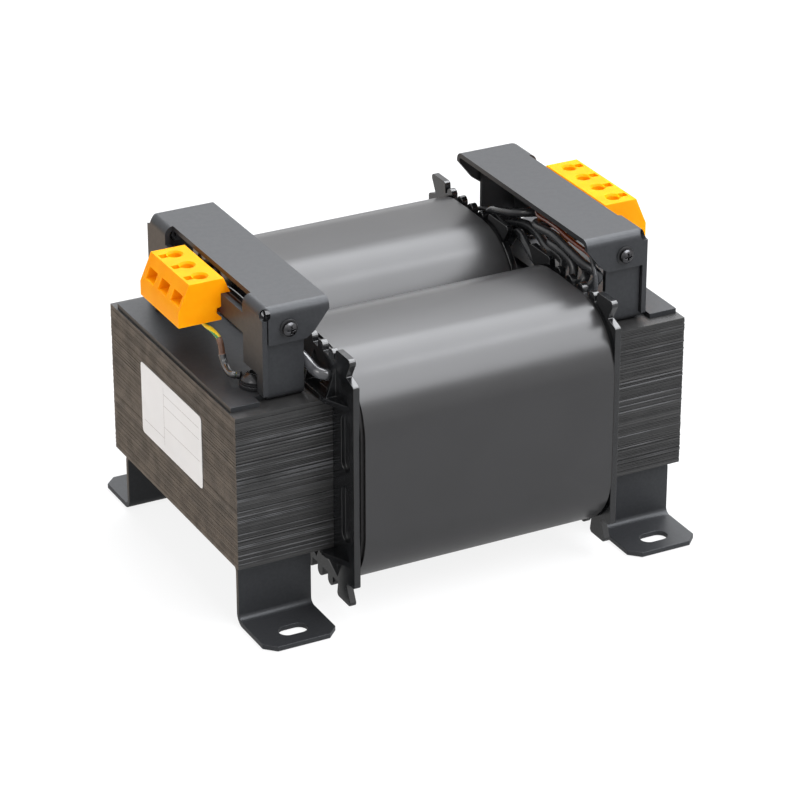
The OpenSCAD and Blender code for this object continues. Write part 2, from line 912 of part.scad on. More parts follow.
module rear_leads() {
  far = finger_y(2.5);
  near = -finger_y(1.5);
  low = -finger_y(2.5);
  mid = finger_y(2);
  inner = finger_y(3.5) - 1.1;
  p = pole_y(poles_rear, 2);
  q = pole_y(poles_rear, 1);
  r = pole_y(poles_rear, 0);
  color(black) {
    wire([
      at_flange(far, [0, 0, 14]), at_flange(far, [1.9, 0, 14]), at_flange(far, [2.9, -3.8, 18.5]),
      at_flange(far, [2.2, -12.8, 21.7]), at_flange(far, [2.8, -21.8, 24.3]),
      at_pole(p, [-18.8, 1.4, 5.2]), at_pole(p, [-13.8, 0.2, 4.7]), at_pole(p, [-8.8, 0, 2.6]),
      at_pole(p, [-6.3, 0, 2.6])
    ], 1.8);
    wire([
      at_flange(near, [0, -1, 14]), at_flange(near, [1.9, -1, 14]), at_flange(near, [4.6, -3.1, 17.8]),
      at_flange(near, [5.2, -4.6, 20.6]), at_flange(near, [3.8, -3.4, 23]),
      at_flange(near, [1.9, 2.4, 24.6]), at_flange(near, [1.9, 14.4, 26.2]),
      at_flange(near, [1.9, 24, 27.4]), at_pole(q, [-22, -1.9, 5.3]),
      at_pole(q, [-18.8, 4.3, 4.1]), at_pole(q, [-14.3, 2.6, 3.7]),
      at_pole(q, [-8.8, 0, 2.6]), at_pole(q, [-6.3, 0, 2.6])
    ], 1.8);
    wire([
      at_flange(low, [0, 0, 14]), at_flange(low, [1.9, 0, 14]), at_flange(low, [3.1, 1.8, 19]),
      at_flange(low, [2.7, 5.6, 21.8]), at_flange(low, [2.2, 11.8, 23]), at_flange(low, [2.9, 18.6, 22.6]),
      at_pole(r, [-18.8, 2.8, 2]), at_pole(r, [-13.8, 1.3, 2.3]), at_pole(r, [-8.8, 0, 2.6]),
      at_pole(r, [-6.3, 0, 2.6])
    ], 1.8);
    wire([
      at_flange(leg_y, [0, -3, 10.5]), at_flange(leg_y, [1.9, -3, 10.5]), at_flange(leg_y, [3.8, -5, 14.6]),
      at_flange(leg_y, [3.8, -9, 16.8]), at_flange(leg_y, [3.1, -15.5, 14.6]),
      at_flange(-leg_y, [2.9, 17, 12]), at_flange(-leg_y, [3, 11, 9.6]), at_flange(-leg_y, [1.9, 7, 8.5]),
      at_flange(-leg_y, [0, 7, 8.5])
    ], 1.8);
    wire([
      at_flange(-inner, [0, 0, 14]), at_flange(-inner, [1.9, 0, 14]), at_flange(-inner, [4.8, 2.2, 16.4]),
      at_flange(-inner, [5.8, 8.2, 17]), at_flange(-inner, [5.5, 16.2, 17.4]),
      at_flange(inner, [7.8, -22.2, 18.5]), at_flange(inner, [7.8, -14.2, 19]),
      at_flange(inner, [5, -6.2, 17.5]), at_flange(inner, [1.9, 0, 14]), at_flange(inner, [0, 0, 14])
    ], 1.8);
    wire([
      at_flange(-mid, [0, 0, 14]), at_flange(-mid, [1.9, 0, 14]), at_flange(-mid, [4.5, -0.5, 17.2]),
      at_flange(-mid, [7, 3.1, 18.6]), at_flange(-mid, [9, 10.1, 18]), at_flange(-mid, [10.5, 17.1, 17.3]),
      at_flange(-mid, [11.5, 25.1, 17]), at_flange(-mid, [12, 35.1, 16.6]),
      at_flange(mid, [12, -34.1, 16.2]), at_flange(mid, [11, -25.1, 15]), at_flange(mid, [8, -15.1, 13]),
      at_flange(mid, [4.5, -6.1, 10.8]), at_flange(mid, [1.9, -0.6, 10]), at_flange(mid, [0, -0.6, 10])
    ], 1.8);
  }
}

module copper_leads() {
  far = finger_y(1.5);
  near = -finger_y(0.5);
  p = pole_y(poles_rear, 3);
  color(copper) {
    wire([
      at_flange(near, [0, 0, 14]), at_flange(near, [1.2, 0, 14]), at_flange(near, [2.2, 0.8, 20.5]),
      at_flange(near, [2.6, 3.2, 25.2]), at_flange(near, [3.2, 5.8, 27.8]), at_flange(near, [3.3, 9, 28.8]),
      at_flange(near, [2.8, 16, 29.4]), at_flange(near, [2.7, 23, 29.8]), at_flange(near, [2.7, 30, 30.6]),
      at_flange(near, [4.2, 40, 29.4]), at_pole(p, [-19.8, -20.3, 8.3]), at_pole(p, [-16.3, -13.8, 8.9]),
      at_pole(p, [-12.3, -6.8, 7.1]), at_pole(p, [-9.3, -1.7, 3.3]), at_pole(p, [-8.2, -1, 1.76]),
      at_pole(p, [-6.3, -1, 1.76])
    ], 0.95, 10);
    wire([
      at_flange(far, [0, 0, 14]), at_flange(far, [1, 0, 14]), at_flange(far, [3, -1.4, 15.2]),
      at_flange(far, [7, -7.4, 16]), at_pole(p, [-13.8, 8.7, -2.3]), at_pole(p, [-10.4, 2.7, 0.1]),
      at_pole(p, [-8.4, 1.1, 1.7]), at_pole(p, [-6.3, 1, 1.76])
    ], 0.95, 10);
  }
}

// Blank rating label

module label() {
  y0 = 0.8 - label_length / 2;
  z0 = core_z + 19.6;
  color([0.95, 0.95, 0.94]) along_x(-hx - 0.15, -hx)
    rounded(y0, z0, y0 + label_length, z0 + label_height, 1.6);
}

u_core();
i_core();
foot_front();
foot_rear();
base_front();
base_rear();
cover_front();
cover_rear();
former_near();
former_far();
primary_near();
primary_far();
barrier_near();
barrier_far();
secondary_near();
secondary_far();
wrap_near();
wrap_far();
coil_divider();
clamp_bolts();
bolt_sleeves();
clamp_washers();
clamp_nuts();
cover_screws();
cover_washers();
cover_nuts();
housing_front();
housing_rear();
cages_front();
cages_rear();
terminal_screws();
earth_lug();
earth_wire();
earth_sleeve();
front_leads();
rear_leads();
copper_leads();
label();
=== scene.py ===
"""Open-frame power transformer, dressed around its fixed frame. Lengths are in metres."""
import math
import random

import bmesh
import bpy
from bpy.props import FloatProperty, FloatVectorProperty, PointerProperty
from bpy.types import Operator, Panel, PropertyGroup
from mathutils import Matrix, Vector


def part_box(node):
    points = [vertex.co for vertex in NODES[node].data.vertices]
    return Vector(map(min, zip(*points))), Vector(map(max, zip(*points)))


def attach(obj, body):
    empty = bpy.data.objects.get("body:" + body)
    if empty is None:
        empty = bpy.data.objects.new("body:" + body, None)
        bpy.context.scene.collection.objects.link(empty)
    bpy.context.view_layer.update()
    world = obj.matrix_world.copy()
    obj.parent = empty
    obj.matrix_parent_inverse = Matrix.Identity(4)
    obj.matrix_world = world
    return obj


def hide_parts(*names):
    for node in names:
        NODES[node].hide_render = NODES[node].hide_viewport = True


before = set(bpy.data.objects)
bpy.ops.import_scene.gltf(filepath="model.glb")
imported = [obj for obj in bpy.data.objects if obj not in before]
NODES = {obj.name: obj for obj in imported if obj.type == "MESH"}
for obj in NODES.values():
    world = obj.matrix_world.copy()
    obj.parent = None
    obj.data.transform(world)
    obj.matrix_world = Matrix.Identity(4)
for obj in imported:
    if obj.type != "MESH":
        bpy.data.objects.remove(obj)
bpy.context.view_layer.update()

bl_info = {
    "name": "Open-Frame Transformer",
    "version": (1, 0, 0),
    "blender": (4, 5, 0),
    "location": "View3D > Sidebar > Transformer",
    "description": "Core, coils, brackets, terminals and leads of a power transformer",
    "category": "Object",
}

MM = 0.001
YOKE_LOW, YOKE_HIGH = (Vector(v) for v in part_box("i_core"))
LEGS_LOW, LEGS_HIGH = (Vector(v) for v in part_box("u_core"))
LABEL_LOW, LABEL_HIGH = (Vector(v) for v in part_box("label"))
# Width of a yoke and of a leg, and half the width of the window between the legs
LIMB = YOKE_HIGH.x - YOKE_LOW.x
HALF_WINDOW = LEGS_HIGH.y - LIMB


# Settings that a user would change


def colour_prop(name, text, value):
    return FloatVectorProperty(
        name=name, description=text, default=value, subtype="COLOR", size=3, min=0, max=1
    )


def length_prop(name, text, value):
    return FloatProperty(name=name, description=text, default=value, unit="LENGTH", precision=5, min=0)


def angle_prop(name, text, degrees):
    return FloatProperty(
        name=name, description=text, default=math.radians(degrees), subtype="ANGLE", unit="ROTATION"
    )


def power_prop(name, text, watts):
    return FloatProperty(name=name, description=text, default=watts, unit="POWER", min=0)


class CoreSettings(PropertyGroup):
    pitch: length_prop("Sheet pitch", "Thickness of one core sheet with its gap", 0.62 * MM)
    gap: length_prop("Sheet gap", "Open gap between two sheets", 0.07 * MM)
    slack: length_prop("Slack", "Widest extra gap where the stack lies loosely", 0.16 * MM)
    stagger: length_prop("Stagger", "How far a sheet may stand back from its neighbours", 0.2 * MM)
    proud: length_prop("Proud", "How far the sheets with the painted highlight stand out at the sides", 0.12 * MM)
    varnish: colour_prop("Varnish", "Colour of the core's varnish", (0.0165, 0.0162, 0.016))
    bare: colour_prop("Bare edge", "Colour of the places that took less varnish", (0.021, 0.0206, 0.0202))
    pale: colour_prop("Pale sheet", "Colour that the paler sheets lean towards", (0.045, 0.044, 0.043))
    # Painted highlight: the lighter colour of the long sides of the sheets that stand out
    rub_and_highlight: colour_prop("Rubbed edge", "Painted highlight on the edges that stand out", (0.075, 0.075, 0.077))


class SheetSettings(PropertyGroup):
    edge: length_prop("Edge", "Rounding of the sheet metal's edges", 0.42 * MM)
    paint: colour_prop("Paint", "Colour of the black paint", (0.019, 0.0196, 0.0212))
    rub_and_highlight: colour_prop("Rubbed paint", "Colour of the worn places of the paint", (0.023, 0.0236, 0.0253))


class CoilSettings(PropertyGroup):
    edge: length_prop("Edge", "Rounding of the former's edges", 0.2 * MM)
    corner: length_prop("Corner", "Corner radius of the outer film", 28 * MM)
    sag: angle_prop("Sag", "How far the near film's top leans down at its outer side", 6.5)
    rise: angle_prop("Rise", "How far the films' tops lean at their other sides", 2.5)
    wave: length_prop("Wave", "How far the film's ends wander", 0.3 * MM)
    film_wall: length_prop("Film thickness", "Thickness of the outer film", 0.45 * MM)
    film: colour_prop("Film", "Colour of the outer film", (0.0222, 0.0218, 0.0222))
    former: colour_prop("Former", "Colour of the moulded former", (0.006, 0.0064, 0.0072))
    # Painted shade: the windings are near black so that the gaps between the films and the flanges show
    # dark
    winding_shade: colour_prop("Winding", "Dark colour painted on the coils as the shade in the film's end gaps", (0.006, 0.0055, 0.0055))
    paper: colour_prop("Barrier", "Colour of the insulating paper", (0.55, 0.42, 0.22))


class TerminalSettings(PropertyGroup):
    edge: length_prop("Edge", "Rounding of the housings' edges", 0.3 * MM)
    amber: colour_prop("Amber", "Colour of the terminal housings", (0.62, 0.27, 0.003))
    deep: colour_prop("Deep amber", "Colour that the amber drifts to", (0.60, 0.24, 0.002))


class LeadSettings(PropertyGroup):
    grey: colour_prop("Grey sleeve", "Colour of the front leads", (0.06, 0.061, 0.065))
    black: colour_prop("Black sleeve", "Colour of the rear leads", (0.02, 0.021, 0.023))
    enamel: colour_prop("Enamel", "Colour of the enamelled wires", (0.17, 0.032, 0.011))
    yellow: colour_prop("Earth yellow", "Main colour of the earth wire", (0.75, 0.55, 0.02))
    green: colour_prop("Earth green", "Stripe of the earth wire", (0.02, 0.26, 0.09))


class LabelSettings(PropertyGroup):
    corner: length_prop("Corner", "Corner radius of the label", 1.6 * MM)
    rule: length_prop("Rule width", "Width of the ruled lines", 0.22 * MM)
    film: colour_prop("Film", "Colour of the label's film", (0.66, 0.655, 0.65))
    ink: colour_prop("Ink", "Colour of the ruled lines", (0.36, 0.34, 0.33))


class StageSettings(PropertyGroup):
    lens: FloatProperty(name="Lens", description="Focal length in millimetres", default=154.67, min=1)
    key: power_prop("Overhead light", "Power of the overhead softbox", 22.0)
    fill: power_prop("Front light", "Power of the front softbox", 24.0)
    back: power_prop("Back light", "Power of the back panel", 0.5)
    upper: power_prop("Upper light", "Power of the upper back panel", 4.0)
    low: power_prop("Low light", "Power of the low back panel", 1.6)
    side: power_prop("Side light", "Power of the side panel", 4.5)
    ambient: FloatProperty(
        name="Ambient", description="Strength of the surrounding light", default=0.5, min=0
    )


SETTINGS = {
    "core": CoreSettings,
    "sheet": SheetSettings,
    "coil": CoilSettings,
    "terminal": TerminalSettings,
    "lead": LeadSettings,
    "label": LabelSettings,
    "stage": StageSettings,
}


def settings(name):
    return getattr(bpy.context.scene, "transformer_" + name)


# Shader node groups and finishes


def new_group(name, inputs, outputs):
    tree = bpy.data.node_groups.new(name, "ShaderNodeTree")
    for label, kind, value in inputs:
        socket = tree.interface.new_socket(label, in_out="INPUT", socket_type="NodeSocket" + kind)
        socket.default_value = value
    for label, kind in outputs:
        tree.interface.new_socket(label, in_out="OUTPUT", socket_type="NodeSocket" + kind)
    return tree, tree.nodes.new("NodeGroupInput"), tree.nodes.new("NodeGroupOutput")


def add(tree, kind, **values):
    node = tree.nodes.new("ShaderNode" + kind)
    for key, value in values.items():
        setattr(node, key, value)
    return node


def feed(tree, socket, value):
    """Links an output into a socket, or sets the socket to a plain value."""
    if isinstance(value, bpy.types.NodeSocket):
        tree.links.new(value, socket)
    else:
        socket.default_value = value


def noise(tree, coords, scale, detail):
    node = add(tree, "TexNoise")
    for socket, value in (("Vector", coords), ("Scale", scale), ("Detail", detail)):
        feed(tree, node.inputs[socket], value)
    return node.outputs["Fac"]


def spread(tree, value, low, high, start=0.32, end=0.68):
    """Spreads what lies between start and end softly over low to high."""
    node = add(tree, "MapRange", interpolation_type="SMOOTHSTEP")
    given = {"Value": value, "From Min": start, "From Max": end, "To Min": low, "To Max": high}
    for socket, number in given.items():
        feed(tree, node.inputs[socket], number)
    return node.outputs["Result"]


def math_node(tree, kind, *values):
    node = add(tree, "Math", operation=kind)
    for socket, value in zip(node.inputs, values):
        feed(tree, socket, value)
    return node.outputs[0]


# Places of the colour sockets on a Mix node
MIX_A, MIX_B, MIX_RESULT = 6, 7, 2


def mix_colour(tree, factor, a, b):
    node = add(tree, "Mix", data_type="RGBA")
    for socket, value in (("Factor", factor), (MIX_A, a), (MIX_B, b)):
        feed(tree, node.inputs[socket], value)
    return node.outputs[MIX_RESULT]


def grain_group():
    """Gloss that wanders over the surface, and a fine texture under it."""
    inputs = [
        ("Gloss Scale", "Float", 120.0),
        ("Low", "Float", 0.3),
        ("High", "Float", 0.5),
        ("Grain Scale", "Float", 1500.0),
    ]
    tree, source, sink = new_group("Surface Grain", inputs, [("Roughness", "Float"), ("Height", "Float")])
    given = source.outputs
    coords = add(tree, "TexCoord").outputs["Object"]
    broad = noise(tree, coords, given["Gloss Scale"], 4)
    fine = noise(tree, coords, given["Grain Scale"], 2)
    feed(tree, sink.inputs["Roughness"], spread(tree, broad, given["Low"], given["High"]))
    feed(tree, sink.inputs["Height"], fine)
    return tree


def drift_group():
    """Two colours that drift into each other."""
    inputs = [
        ("Colour A", "Color", (0, 0, 0, 1)),
        ("Colour B", "Color", (1, 1, 1, 1)),
        ("Scale", "Float", 60.0),
    ]
    tree, source, sink = new_group("Colour Drift", inputs, [("Colour", "Color")])
    given = source.outputs
    coords = add(tree, "TexCoord").outputs["Object"]
    share = spread(tree, noise(tree, coords, given["Scale"], 5), 0.0, 1.0)
    feed(tree, sink.inputs["Colour"], mix_colour(tree, share, given["Colour A"], given["Colour B"]))
    return tree


def layer_group():
    """A steady tone for each layer of a stack."""
    tree, source, sink = new_group("Layer Tone", [("Pitch", "Float", 0.001)], [("Tone", "Float")])
    split = add(tree, "SeparateXYZ")
    feed(tree, split.inputs[0], add(tree, "TexCoord").outputs["Object"])
    height = math_node(tree, "DIVIDE", split.outputs["Z"], source.outputs["Pitch"])
    tone = add(tree, "TexWhiteNoise", noise_dimensions="1D")
    feed(tree, tone.inputs["W"], math_node(tree, "FLOOR", height))
    feed(tree, sink.inputs["Tone"], tone.outputs["Value"])
    return tree


GROUP_MAKERS = {"grain": grain_group, "drift": drift_group, "layer": layer_group}
GROUPS = {}


def place_group(tree, kind, **values):
    """Puts a shared group into a material, with values of its own."""
    if kind not in GROUPS:
        GROUPS[kind] = GROUP_MAKERS[kind]()
    node = add(tree, "Group", node_tree=GROUPS[kind])
    for key, value in values.items():
        socket = node.inputs[key.replace("_", " ").title()]
        socket.default_value = (*value, 1) if hasattr(value, "__len__") else value
    return node


def finish(name, colours, gloss, grain=(120, 1500, 0.02), drift=60, **sockets):
    """A finish with drifting colour, wandering gloss and a fine surface texture.

    gloss is the lowest and the highest roughness. grain is the scale of the gloss, the scale of
    the texture and its depth in millimetres. drift is the scale of the colours.
    """
    made = bpy.data.materials.get(name)
    if made:
        return made
    material = bpy.data.materials.new(name)
    material.use_nodes = True
    tree = material.node_tree
    shader = tree.nodes["Principled BSDF"]
    colour = place_group(tree, "drift", colour_a=colours[0], colour_b=colours[1], scale=drift)
    feed(tree, shader.inputs["Base Color"], colour.outputs["Colour"])
    gloss_scale, grain_scale, depth = grain
    low, high = gloss
    skin = place_group(tree, "grain", gloss_scale=gloss_scale, low=low, high=high, grain_scale=grain_scale)
    feed(tree, shader.inputs["Roughness"], skin.outputs["Roughness"])
    bump = add(tree, "Bump")
    bump.inputs["Strength"].default_value = 1.0
    bump.inputs["Distance"].default_value = depth * MM
    feed(tree, bump.inputs["Height"], skin.outputs["Height"])
    feed(tree, shader.inputs["Normal"], bump.outputs["Normal"])
    for key, value in sockets.items():
        shader.inputs[key.replace("_", " ").title().replace("Ior", "IOR")].default_value = value
    return material


def shade(colour, factor):
    """The same colour, darker or lighter."""
    return [factor * v for v in colour]


# Mesh helpers


def piece(name, bm, materials, replaced, slot, smooth=True):
    """Turns a bmesh into a named piece that stands for its frame nodes."""
    bmesh.ops.recalc_face_normals(bm, faces=bm.faces)
    for face in bm.faces:
        face.smooth = smooth
    mesh = bpy.data.meshes.new(name)
    bm.to_mesh(mesh)
    bm.free()
    for material in materials:
        mesh.materials.append(material)
    made = bpy.data.objects.new(name, mesh)
    bpy.context.scene.collection.objects.link(made)
    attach(made, "root")
    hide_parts(*replaced)
    return made


WELD_REACH = 0.002 * MM
FLAT_ANGLE = math.radians(0.5)
NORMAL_WEIGHT = 60


def dress(name, material, edge=0.0, angle=35, flats=True, clamp=True):
    """Gives a frame node its finish and, where asked, softly rounded edges.

    angle is the least bend in degrees that is rounded. flats joins level faces first, and clamp
    keeps the rounding from running over its neighbours.
    """
    node = NODES[name]
    node.data.materials.clear()
    node.data.materials.append(material)
    if not edge:
        return
    weld = node.modifiers.new("Weld", "WELD")
    weld.merge_threshold = WELD_REACH
    if flats:
        flat = node.modifiers.new("Flats", "DECIMATE")
        flat.decimate_type = "DISSOLVE"
        flat.angle_limit = FLAT_ANGLE
    rounding = node.modifiers.new("Edges", "BEVEL")
    rounding.use_clamp_overlap = clamp
    rounding.width = edge
    rounding.segments = 2
    rounding.limit_method = "ANGLE"
    rounding.angle_limit = math.radians(angle)
    rounding.miter_outer = "MITER_ARC"
    normals = node.modifiers.new("Normals", "WEIGHTED_NORMAL")
    normals.keep_sharp = False
    normals.weight = NORMAL_WEIGHT


def catmull(a, b, c, d, t):
    """Place at t on a smooth curve from b to c, with its neighbours a and d."""
    square = (2 * a - 5 * b + 4 * c - d) * t ** 2
    cube = (3 * b - a - 3 * c + d) * t ** 3
    return 0.5 * (2 * b + (c - a) * t + square + cube)


def led(points, steps=10):
    """Smooth path through points in millimetres, with a straight stub at each end."""
    route = [Vector(p) * MM for p in points]
    mid = route[1:-1]
    ends = [2 * mid[0] - mid[1]] + mid + [2 * mid[-1] - mid[-2]]
    path = [route[0]]
    for i in range(len(mid) - 1):
        path += [catmull(*ends[i:i + 4], k / steps) for k in range(steps)]
    return path + [mid[-1], route[-1]]


def tube(bm, path, radius, sides=16, paint=None):
    """Closed round tube along a path, with its rings kept from twisting.

    radius may be a function of the place along the path. paint gives the material of a face from
    its place along the path and around it, each as a share.
    """
    rings = []
    side = None
    for i, point in enumerate(path):
        way = (path[min(i + 1, len(path) - 1)] - path[max(i - 1, 0)]).normalized()
        side = way.orthogonal() if side is None else side - way * side.dot(way)
        side.normalize()
        up = way.cross(side)
        size = radius(i / (len(path) - 1)) if callable(radius) else radius
        turns = [2 * math.pi * k / sides for k in range(sides)]
        rings.append([bm.verts.new(point + size * (math.cos(t) * side + math.sin(t) * up)) for t in turns])
    for i in range(len(rings) - 1):
        for k in range(sides):
            j = (k + 1) % sides
            face = bm.faces.new((rings[i][k], rings[i][j], rings[i + 1][j], rings[i + 1][k]))
            face.material_index = paint(i / (len(rings) - 1), k / sides) if paint else 0
    for ring, tone in ((rings[0], 0.0), (rings[-1], 1.0)):
        cap = bm.faces.new(ring)
        cap.material_index = paint(tone, 0.5) if paint else 0


def prism(bm, outline, low, high):
    """Closed prism over an (x, y) outline; gives back its side faces."""
    bottom = [bm.verts.new((x, y, low)) for x, y in outline]
    top = [bm.verts.new((x, y, high)) for x, y in outline]
    bm.faces.new(bottom[::-1])
    bm.faces.new(top)
    sides = []
    for i in range(len(outline)):
        j = (i + 1) % len(outline)
        sides.append(bm.faces.new((bottom[i], bottom[j], top[j], top[i])))
    return sides


# Core

# Open seams in the stack, as shares of its height
SEAMS = (0.084, 0.184, 0.311, 0.389, 0.542, 0.626, 0.769, 0.885)
SEAM_HEIGHT = 0.14 * MM
# Shares of sheets that lie loosely, start a new pack, or stand out with a painted highlight on their long
# sides, on the legs and on the yoke
LOOSE = 0.3
NEW_PACK = 0.3
HIGHLIT_LEGS = 0.17
HIGHLIT_YOKE = 0.14
# How unevenly the sheets end at the front and at the back, as shares of the stagger
FRONT_PLAY = 0.25
BACK_PLAY = 0.4
# Gap between the legs' ends and the rear yoke
BUTT_GAP = 0.02 * MM
# Long sides of the two outlines
LEGS_SIDES = (0, 6)
YOKE_SIDES = (0, 2)
VARNISH_GLOSS = (0.34, 0.5)
VARNISH_GRAIN = (160, 900, 0.03)
# Tone from which a sheet turns paler, and how far the palest one goes
PALE_FROM = 0.35
PALE_MOST = 0.55
# Seeds for the gaps between the sheets and for the places of their edges
GAP_SEED = 38
EDGE_SEED = 62


def varnish_finish():
    values = settings("core")
    material = finish(
        "Core varnish", (values.varnish, values.bare), VARNISH_GLOSS, grain=VARNISH_GRAIN, drift=140
    )
    tree = material.node_tree
    colour = tree.nodes["Principled BSDF"].inputs["Base Color"]
    drift = colour.links[0].from_socket
    tone = place_group(tree, "layer", pitch=values.pitch)
    share = spread(tree, tone.outputs["Tone"], 0.0, PALE_MOST, PALE_FROM, 1.0)
    feed(tree, colour, mix_colour(tree, share, drift, (*values.pale, 1)))
    return material


# Painted highlight on the long sides of the sheets that stand out, where their edges catch the light
def edge_highlight_finish():
    values = settings("core")
    return finish(
        "Rubbed edge", (values.varnish, values.rub_and_highlight), VARNISH_GLOSS, grain=VARNISH_GRAIN, drift=45
    )


def sheet_layers():
    """Lower and upper face of each sheet, with open seams in the stack."""
    values = settings("core")
    stack = YOKE_HIGH.z - YOKE_LOW.z
    count = round(stack / values.pitch)
    pitch = stack / count
    seams = {round(share * count) for share in SEAMS}
    draw = random.Random(GAP_SEED)
    for k in range(count):
        low = YOKE_LOW.z + k * pitch
        top = low + pitch - (0 if k == count - 1 else values.gap)
        lift = values.slack * draw.uniform(0.3, 1.0) if draw.random() < LOOSE else 0.0
        if k in seams:
            lift = SEAM_HEIGHT
        elif k == 0:
            lift = 0.0
        yield low + lift, top


def legs_outline(front, near, far):
    """Outline of a U sheet, set back by so much at its front and its two long sides."""
    x0, x1 = LEGS_LOW.x + front, LEGS_HIGH.x
    y0, y1 = LEGS_LOW.y + near, LEGS_HIGH.y - far
    inner = x0 + LIMB
    window = [(x1, -HALF_WINDOW), (inner, -HALF_WINDOW), (inner, HALF_WINDOW), (x1, HALF_WINDOW)]
    return [(x0, y0), (x1, y0), *window, (x1, y1), (x0, y1)]


def yoke_outline(back, near, far):
    """Outline of an I sheet, set back by so much at its back and its two ends."""
    x0, x1 = YOKE_LOW.x + BUTT_GAP, YOKE_HIGH.x - back
    y0, y1 = YOKE_LOW.y + near, YOKE_HIGH.y - far
    return [(x0, y0), (x1, y0), (x1, y1), (x0, y1)]


class TRANSFORMER_OT_core(Operator):
    """Stacks the core's thin sheets"""

    bl_idname = "transformer.core"
    bl_label = "Core sheets"

    def execute(self, context):
        values = settings("core")
        stagger = values.stagger
        draw = random.Random(EDGE_SEED)
        legs, yoke = bmesh.new(), bmesh.new()

        def set_back(rub_and_highlight, shift):
            return (0.0, 0.0) if rub_and_highlight else (values.proud + shift, values.proud + stagger - shift)

        pack = 0.0
        for k, (low, high) in enumerate(sheet_layers()):
            if k % 2 == 0 or draw.random() < NEW_PACK:
                pack = draw.uniform(0, stagger)
            rub_and_highlight = draw.random() < HIGHLIT_LEGS
            front = draw.uniform(0, FRONT_PLAY) * stagger
            faces = prism(legs, legs_outline(front, *set_back(rub_and_highlight, pack)), low, high)
            # The long sides of a sheet that stands out take the painted highlight
            for side in LEGS_SIDES:
                faces[side].material_index = int(rub_and_highlight)
            back = draw.uniform(0, BACK_PLAY) * stagger
            rub_and_highlight = draw.random() < HIGHLIT_YOKE
            shift = draw.uniform(0, stagger)
            faces = prism(yoke, yoke_outline(back, *set_back(rub_and_highlight, shift)), low, high)
            for side in YOKE_SIDES:
                faces[side].material_index = int(rub_and_highlight)
        materials = [varnish_finish(), edge_highlight_finish()]
        piece("core_u_sheets", legs, materials, ["u_core"], "core_steel", smooth=False)
        piece("core_i_sheets", yoke, materials, ["i_core"], "core_steel", smooth=False)
        return {"FINISHED"}


# Foot straps and terminal brackets


class TRANSFORMER_OT_sheet_metal(Operator):
    """Paints the foot straps and the terminal brackets"""

    bl_idname = "transformer.sheet_metal"
    bl_label = "Straps and brackets"

    def execute(self, context):
        values = settings("sheet")
        paint = finish(
            "Black paint", (values.paint, values.rub_and_highlight), (0.38, 0.42), grain=(420, 2600, 0.012), drift=900,
            specular_ior_level=0.36, specular_tint=(0.94, 0.97, 1.0, 1),
        )
        for name in ("foot_front", "foot_rear", "base_front", "base_rear", "cover_front", "cover_rear"):
            dress(name, paint, values.edge)
        return {"FINISHED"}


# Coils

FILM_STEP = math.radians(3)
# Waves around a film's end
WAVES = (3, 5, 8, 13)


def film_loop(y0, y1, z0, z1, radius, lean_left, lean_right):
    """Outline of a wrapped coil with a slightly bulging top: each point with its outward direction."""
    right, left, toe = y1 - radius, y0 + radius, z0 + radius
    reach = (right - left) / (math.sin(lean_left) + math.sin(lean_right))
    wide = radius + reach
    quarter = math.pi / 2
    arcs = (
        (right, z1 - wide + reach * math.cos(lean_right), radius, 0.0, quarter - lean_right),
        (left + reach * math.sin(lean_left), z1 - wide, wide, quarter - lean_right, quarter + lean_left),
        (left, z1 - wide + reach * math.cos(lean_left), radius, quarter + lean_left, 2 * quarter),
        (left, toe, radius, 2 * quarter, 3 * quarter),
        (right, toe, radius, 3 * quarter, 4 * quarter),
    )
    loop = []
    for k, (y, z, r, start, end) in enumerate(arcs):
        steps = math.ceil((end - start) / FILM_STEP)
        # The second and the third arc start where the one before them ends
        for i in range(1 if k in (1, 2) else 0, steps + 1):
            turn = start + (end - start) * i / steps
            way = Vector((0, math.cos(turn), math.sin(turn)))
            loop.append((Vector((0, y, z)) + r * way, way))
    return loop


def film_ring(name, material, leans, seed):
    """Thin film around a coil, with slightly wavy ends."""
    values = settings("coil")
    low, high = (Vector(v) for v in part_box(name))
    loop = film_loop(low.y, high.y, low.z, high.z, values.corner, *leans)
    draw = random.Random(seed)
    bm = bmesh.new()
    rims = []
    for end in (low.x, high.x):
        waves = [(n, draw.uniform(0, 2 * math.pi), draw.uniform(0.4, 1.0)) for n in WAVES]
        total = sum(size for _, _, size in waves)
        outer, inner = [], []
        for k, (place, way) in enumerate(loop):
            turn = 2 * math.pi * k / len(loop)
            sway = sum(size * math.sin(n * turn + phase) for n, phase, size in waves) / total
            back = Vector((math.copysign(0.5 * values.wave * (1 + sway), -end), 0, 0))
            outer.append(bm.verts.new(Vector((end, 0, 0)) + back + place))
            inner.append(bm.verts.new(Vector((end, 0, 0)) + back + place - values.film_wall * way))
        rims.append((outer, inner))
    (outer_a, inner_a), (outer_b, inner_b) = rims
    for k in range(len(loop)):
        j = (k + 1) % len(loop)
        for a, b in ((outer_a, outer_b), (inner_b, inner_a), (inner_a, outer_a), (outer_b, inner_b)):
            bm.faces.new((a[k], a[j], b[j], b[k]))
    for ring in (outer_a, inner_a, outer_b, inner_b):
        for k, vert in enumerate(ring):
            bm.edges.get((vert, ring[(k + 1) % len(ring)])).smooth = False
    return piece(name + "_film", bm, [material], [name], "wrap_film")


